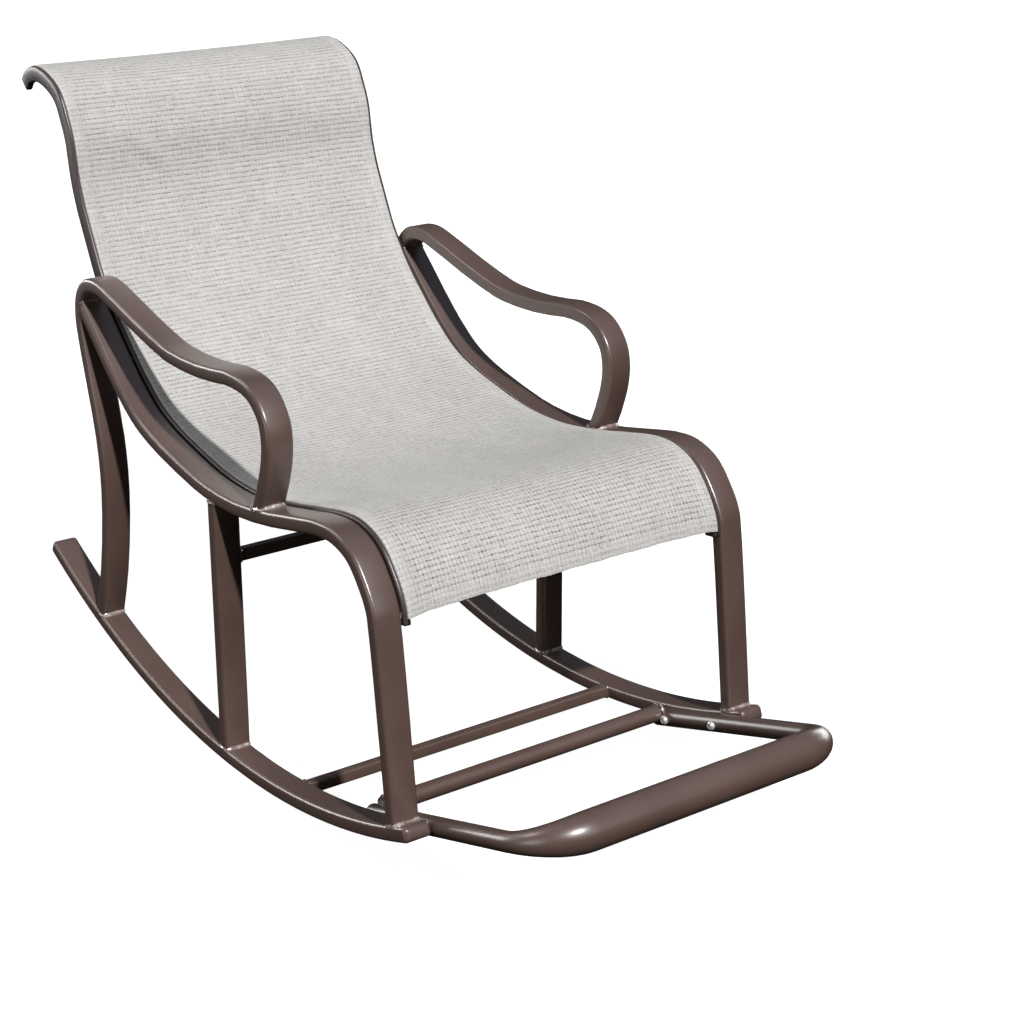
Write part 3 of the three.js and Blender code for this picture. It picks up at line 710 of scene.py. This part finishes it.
for side, way in sides.items():
    for end in foot_screw_spots:
        distance = foot_tail + (foot_line.length if end == "front" else 0)
        fasten(f"{side}_foot_{end}", way, foot_leg_plane - foot_leg_radius, foot_place(0, distance))
    for end, share in sling_screw_shares.items():
        place, angle = along_rail(share)
        fasten(f"{side}_sling_{end}", way, rail_inner_face, place - section_up(angle) * rail_rise)

# The sling is one length of coated mesh, woven from light grey yarns. Its sides are sewn into pockets that
# go down into the rails' slots, and its ends are turned under and sewn. It is drawn tight from the front
# hem to the head.
cloth_thickness = 0.0011
cloth_level = rail_top + 0.0009
cloth_start_share = 0.0195
cloth_end_share = 0.952
pocket_width = 0.021
hem_width = 0.017
fold_step = 0.0004
seam_gap = 0.0008
hem_bow = 0.005
bow_power = 7
cloth_sag = 0.0045
sag_at_hems = 0.3
sag_growth = 6
crease_start = Vector((-0.215, 1.225))
crease_end = Vector((-0.065, 1.07))
crease_height = 0.007
crease_width = 0.011
hem_ripples = ((0.0004, 80, 1.0), (0.0003, 210, 0.3))
ripple_reach = 0.02
slot_plane = rail_plane - slot_shift
edge_bend = 0.0012
edge_drop = 0.003
cloth_line = rail_between(cloth_start_share, cloth_end_share, math.radians(1.5), 0.006)
cloth_places = [place + section_up(angle) * cloth_level for place, angle in cloth_line]
cloth_run = [0.0]
for start, end in zip(cloth_places, cloth_places[1:]):
    cloth_run.append(cloth_run[-1] + (end - start).length)
cloth_length = cloth_run[-1]
flat_half = slot_plane - edge_bend
edge_turn = edge_bend * math.pi / 2
cloth_half = flat_half + edge_turn + edge_drop


def cloth_spot(run):
    """Place and direction of the cloth's middle line at a run from its front hem."""
    before = max(index for index, far in enumerate(cloth_run[:-1]) if far <= max(run, 0))
    share = (run - cloth_run[before]) / (cloth_run[before + 1] - cloth_run[before])
    place = cloth_places[before].lerp(cloth_places[before + 1], share)
    return place, cloth_line[before][1] + (cloth_line[before + 1][1] - cloth_line[before][1]) * share


def even(start, end, steps):
    """Evenly spaced numbers from one to another."""
    return [start + (end - start) * step / steps for step in range(steps + 1)]


def crease(column, along):
    """Height of the soft crease below the left end of the head."""
    run = crease_end - crease_start
    spot = Vector((column, along)) - crease_start
    share = spot.dot(run) / run.length_squared
    if not 0 < share < 1:
        return 0.0
    off = (spot - run * share).length
    return crease_height * math.exp(-0.5 * (off / crease_width) ** 2) * math.sin(math.pi * share) ** 2


def hang_cloth(name, columns, rows, sunk=0.0):
    """A sheet between the rails, from its columns and rows, which are measured on the flat cloth."""
    bpy.ops.object.select_all(action="DESELECT")
    bpy.ops.mesh.primitive_grid_add(x_subdivisions=len(columns) - 1, y_subdivisions=len(rows) - 1, size=2)
    sheet = bpy.context.object
    sheet.name = name
    flat = []
    for vertex in sheet.data.vertices:
        column = round((vertex.co.x + 1) / 2 * (len(columns) - 1))
        row = round((vertex.co.y + 1) / 2 * (len(rows) - 1))
        flat.append((columns[column], rows[row]))
    uv_layer = sheet.data.uv_layers.active.data
    for loop in sheet.data.loops:
        uv_layer[loop.index].uv = flat[loop.vertex_index]
    for vertex, (column, along) in zip(sheet.data.vertices, flat):
        aside = abs(column)
        bow = hem_bow * (1 - min(aside / flat_half, 1) ** bow_power) * (1 - along / cloth_length)
        ripple = sum(size * math.sin(turns * column + start) for size, turns, start in hem_ripples)
        place, angle = cloth_spot(along + bow + ripple * math.exp(-along / ripple_reach))
        bend = min(max(aside - flat_half, 0) / edge_bend, math.pi / 2)
        drop = max(aside - flat_half - edge_turn, 0) + edge_bend * (1 - math.cos(bend))
        out = min(aside, flat_half) + edge_bend * math.sin(bend)
        hollow = cloth_sag * (1 - min(aside / flat_half, 1) ** 2)
        hollow *= min(1, sag_at_hems + sag_growth * min(along, cloth_length - along))
        double = aside > cloth_half - pocket_width or not hem_width < along < cloth_length - hem_width
        rise = fold_step * double - drop - hollow - sunk + crease(column, along)
        vertex.co = place + across(math.copysign(out, column)) + section_up(angle) * rise
    sheet.data.update()
    thicken = sheet.modifiers.new("thickness", "SOLIDIFY")
    thicken.thickness = cloth_thickness
    thicken.offset = 0
    bpy.ops.object.modifier_apply(modifier="thickness")
    bpy.ops.object.mode_set(mode="EDIT")
    return sheet


first_column = 0.008
steps_across = 28
steps_along = 230
column_pitch = 0.0062
row_pitch = 0.008
pocket_seam = cloth_half - pocket_width
head_seam = cloth_length - hem_width
half_columns = [
    *even(first_column, pocket_seam - seam_gap, steps_across), *even(pocket_seam + seam_gap, flat_half, 2),
    *even(flat_half, flat_half + edge_turn, 3)[1:], cloth_half,
]
cloth_columns = [-column for column in half_columns[::-1]] + [0.0] + half_columns
cloth_rows = [
    *even(0, hem_width - seam_gap, 3), *even(hem_width + seam_gap, head_seam - seam_gap, steps_along),
    *even(head_seam + seam_gap, cloth_length, 3),
]

columns_sink = {"From Min": 0.3, "From Max": 0.6, "To Min": 1, "To Max": 0.3}
yarn_lift = 0.35
row_top = 0.65
column_top = 0.95
row_gap_painted_shade = 0.31
column_gap_painted_shade = 0.2
corner_painted_shade = 0.16
gap_unevenness = 3.8
double_painted_shade_share = 0.45
middle_tone = 0.69

weave, weave_tree, weave_shader = new_finish("sling_weave_yarn", (0.6, 0.585, 0.565), 0.62)
weave_shader.inputs["Specular IOR Level"].default_value = 0.35
weave_shader.inputs["Sheen Weight"].default_value = 0.15
weave_shader.inputs["Sheen Roughness"].default_value = 0.5
flat_place = weave_tree.nodes.new("ShaderNodeUVMap").outputs["UV"]


def maths(operation, *inputs):
    """A Math node of the weave with its inputs set or linked, and its result."""
    node = weave_tree.nodes.new("ShaderNodeMath")
    node.operation = operation
    for socket, value in zip(node.inputs, inputs):
        if isinstance(value, (int, float)):
            socket.default_value = value
        else:
            weave_tree.links.new(value, socket)
    return node.outputs["Value"]


def uneven(stretch, detail, share):
    """Noise up to half a share up or down that is drawn out across or along the flat cloth."""
    turn = weave_tree.nodes.new("ShaderNodeMapping")
    turn.inputs["Scale"].default_value = (*stretch, 1)
    noise = weave_tree.nodes.new("ShaderNodeTexNoise")
    noise.inputs["Scale"].default_value = 1
    noise.inputs["Detail"].default_value = detail
    link(weave_tree, flat_place, turn.inputs["Vector"], turn.outputs["Vector"], noise.inputs["Vector"])
    return maths("MULTIPLY", maths("SUBTRACT", noise.outputs["Fac"], 0.5), share)


def ribs(along, wobble, pitch):
    """Rounded ribs, 1 on top and 0 in the valleys, at a pitch along one direction of the cloth."""
    place = maths("ADD", maths("DIVIDE", along, pitch), wobble)
    return place, maths("ABSOLUTE", maths("SINE", maths("MULTIPLY", place, math.pi)))


def valley(rib):
    """1 at the bottom between two ribs, and nearly 0 elsewhere."""
    return maths("POWER", maths("SUBTRACT", 1, rib), 2)


# In the weave, rows of thick yarn and columns of thin yarn pass over each other in turn. The columns stand
# out on the seat and sink in between the rows up the back. The valleys between the yarns carry painted
# shade, less of it where the cloth lies double, and every yarn has its own tone.
parts = weave_tree.nodes.new("ShaderNodeSeparateXYZ")
link(weave_tree, flat_place, parts.inputs["Vector"])
aside, along = parts.outputs["X"], parts.outputs["Y"]
column, column_rib = ribs(aside, uneven((40, 60), 2, 0.3), column_pitch)
row, row_rib = ribs(along, uneven((35, 30), 2, 0.25), row_pitch)
sinking = weave_tree.nodes.new("ShaderNodeMapRange")
for socket, value in columns_sink.items():
    sinking.inputs[socket].default_value = value
link(weave_tree, along, sinking.inputs["Value"])
stand_out = sinking.outputs["Result"]
row_over = maths("PINGPONG", maths("ADD", maths("FLOOR", column), maths("FLOOR", row)), 1)
lifted = maths("MULTIPLY", row_over, yarn_lift)
column_height = maths("MULTIPLY", column_rib, maths("SUBTRACT", column_top, lifted))
column_height = maths("MULTIPLY", column_height, stand_out)
row_height = maths("MULTIPLY", row_rib, maths("ADD", row_top, lifted))
relief = maths("SMOOTH_MAX", column_height, row_height, 0.25)

# Painted shade: the valleys between rows and columns, and their crossings, are darkened in the yarn's colour.
row_valley = valley(row_rib)
column_valley = maths("MULTIPLY", valley(column_rib), stand_out)
row_painted_shade = maths("MULTIPLY", row_valley, row_gap_painted_shade)
column_painted_shade = maths("MULTIPLY", column_valley, column_gap_painted_shade)
crossing_painted_shade = maths("MULTIPLY", maths("MULTIPLY", row_valley, column_valley), corner_painted_shade)
gap_painted_shade = maths("ADD", maths("ADD", row_painted_shade, column_painted_shade), crossing_painted_shade)
gap_painted_shade = maths("MULTIPLY", gap_painted_shade, maths("ADD", 1, uneven((150, 170), 3, gap_unevenness)))
from_side = maths("SUBTRACT", pocket_seam, maths("ABSOLUTE", aside))
from_front = maths("SUBTRACT", along, hem_width)
from_head = maths("SUBTRACT", head_seam, along)
from_hems = maths("MINIMUM", from_front, from_head)
single = maths("GREATER_THAN", maths("MINIMUM", from_side, from_hems), 0)
gap_shade_share = maths("ADD", double_painted_shade_share, maths("MULTIPLY", single, 1 - double_painted_shade_share))
gap_painted_shade = maths("MULTIPLY", gap_painted_shade, gap_shade_share)

streak = maths("ADD", uneven((25, 700), 3, 0.6), uneven((900, 25), 3, 0.6))
cloud = maths("ADD", uneven((14, 4), 2, 0.14), uneven((500, 420), 2, 0.7))
tone = maths("ADD", maths("ADD", streak, cloud), middle_tone)
tones = weave_tree.nodes.new("ShaderNodeValToRGB")
for element, colour in zip(tones.color_ramp.elements, ((0.08, 0.075, 0.067), (0.56, 0.543, 0.522))):
    element.color = (*colour, 1)
shade = maths("SUBTRACT", tone, gap_painted_shade)
link(weave_tree, shade, tones.inputs["Fac"], tones.outputs["Color"], weave_shader.inputs["Base Color"])
bump = weave_tree.nodes.new("ShaderNodeBump")
bump.inputs["Strength"].default_value = 0.7
bump.inputs["Distance"].default_value = 0.0009
link(weave_tree, relief, bump.inputs["Height"], bump.outputs["Normal"], weave_shader.inputs["Normal"])

cloth = hang_cloth("woven_sling", cloth_columns, cloth_rows)
leave_bench(weave, "sling_weave", "sling")

fold_half = rail_plane - rail_width
fold_columns = even(-fold_half, fold_half, 60)
fold_rows = {"front": even(0.0006, hem_width, 4), "head": even(head_seam, cloth_length, 4)}
for end, rows in fold_rows.items():
    hang_cloth(f"{end}_hem_fold", fold_columns, rows, cloth_thickness + fold_step)
    leave_bench(weave, "sling_weave")

# The studio has pale paper on the floor and all round. The paper glows, so that it stays pale where the
# chair shades it, but it doesn't light the chair: the dim room, one hard light high in front and large
# panels do.
bpy.context.scene.view_settings.view_transform = "Standard"
bpy.ops.object.select_all(action="DESELECT")
bpy.ops.mesh.primitive_circle_add(vertices=96, radius=40, fill_type="NGON", location=(0, 0, 0))
floor = bpy.context.object
bpy.ops.mesh.primitive_uv_sphere_add(segments=48, ring_count=24, radius=45)
wall = bpy.context.object
wall.visible_shadow = False
for paper, name, glow in ((floor, "studio_floor", 0.95), (wall, "studio_wall", 1.05)):
    finish, _, shader = new_finish(f"{name}_paper", (0.3, 0.3, 0.3), 0.9)
    shader.inputs["Emission Color"].default_value = (1, 1, 1, 1)
    shader.inputs["Emission Strength"].default_value = glow
    shader.inputs["Specular IOR Level"].default_value = 0
    paper.name = name
    paper.data.materials.append(finish)
    paper.visible_diffuse = False
    paper.visible_glossy = False

world = bpy.data.worlds.new("studio_room")
world.use_nodes = True
room = world.node_tree
background = room.nodes["Background"]
background.inputs["Strength"].default_value = 0.14
heights = room.nodes.new("ShaderNodeSeparateXYZ")
outlook = room.nodes.new("ShaderNodeTexCoord")
room_light = room.nodes.new("ShaderNodeValToRGB")
for element, level, colour in zip(
    room_light.color_ramp.elements, (0.42, 0.95), ((0.03, 0.025, 0.022), (0.82, 0.9, 1.0)),
):
    element.position = level
    element.color = (*colour, 1)
half_heights = room.nodes.new("ShaderNodeMapRange")
half_heights.inputs["From Min"].default_value = -1
link(room, outlook.outputs["Generated"], heights.inputs["Vector"])
link(room, heights.outputs["Z"], half_heights.inputs["Value"])
link(room, half_heights.outputs["Result"], room_light.inputs["Fac"])
link(room, room_light.outputs["Color"], background.inputs["Color"])
bpy.context.scene.world = world

bpy.ops.object.light_add(type="SUN", location=(-0.8, -2.3, 3.3))
sun = bpy.context.object
sun.name = "key_light"
sun.data.energy = 4.8
sun.data.angle = math.radians(2)
sun.rotation_euler = Vector((0.2, 0.95, -1.0)).to_track_quat("-Z", "Y").to_euler()

# Each panel has its place, the point that it faces, its width and height, its power and its colour. The
# bluish one overhead is seen only as a reflection on the frame's upper faces.
white = (1, 1, 1)
panels = {
    "left_panel": ((-4, -0.6, 1), (0, 0, 0.5), (2, 1.6), 32, white),
    "front_panel": ((0.8, -4.5, 1.8), (0, 0, 0.4), (2.4, 1.6), 16, white),
    "rim_panel": ((-2.4, 2.4, 3.6), (0, 0, 0.5), (1.2, 0.9), 40, white),
    "back_panel": ((-2.6, 5, 1.2), (0, 0, 0.5), (3, 1.4), 120, white),
    "right_panel": ((5, 1.2, 0.9), (0, 0, 0.5), (3, 1.4), 80, white),
    "ceiling_panel": ((0.8, -1, 5), (0.8, -0.9, 0), (7, 7), 36, (0.5, 0.62, 1)),
}
for name, (place, target, (width, height), power, colour) in panels.items():
    bpy.ops.object.light_add(type="AREA", location=place)
    panel = bpy.context.object
    panel.name = name
    panel.data.shape = "RECTANGLE"
    panel.data.size = width
    panel.data.size_y = height
    panel.data.energy = power
    panel.data.color = colour
    panel.visible_diffuse = name != "ceiling_panel"
    panel.rotation_euler = (Vector(target) - Vector(place)).to_track_quat("-Z", "Y").to_euler()

# The camera stands in front of the chair, to its left and half a metre above its head. It looks down on the
# seat, with a short telephoto lens.
azimuth = math.radians(-36.33)
elevation = math.radians(20.65)
level = math.cos(elevation)
aim = Vector((-math.sin(azimuth) * level, math.cos(azimuth) * level, -math.sin(elevation)))
bpy.ops.object.camera_add(location=(-1.669, -2.5212, 1.481))
camera = bpy.context.object
camera.name = "photo_camera"
camera.rotation_euler = aim.to_track_quat("-Z", "Y").to_euler()
camera.data.sensor_width = 36
camera.data.lens = 75.4
bpy.context.scene.camera = camera
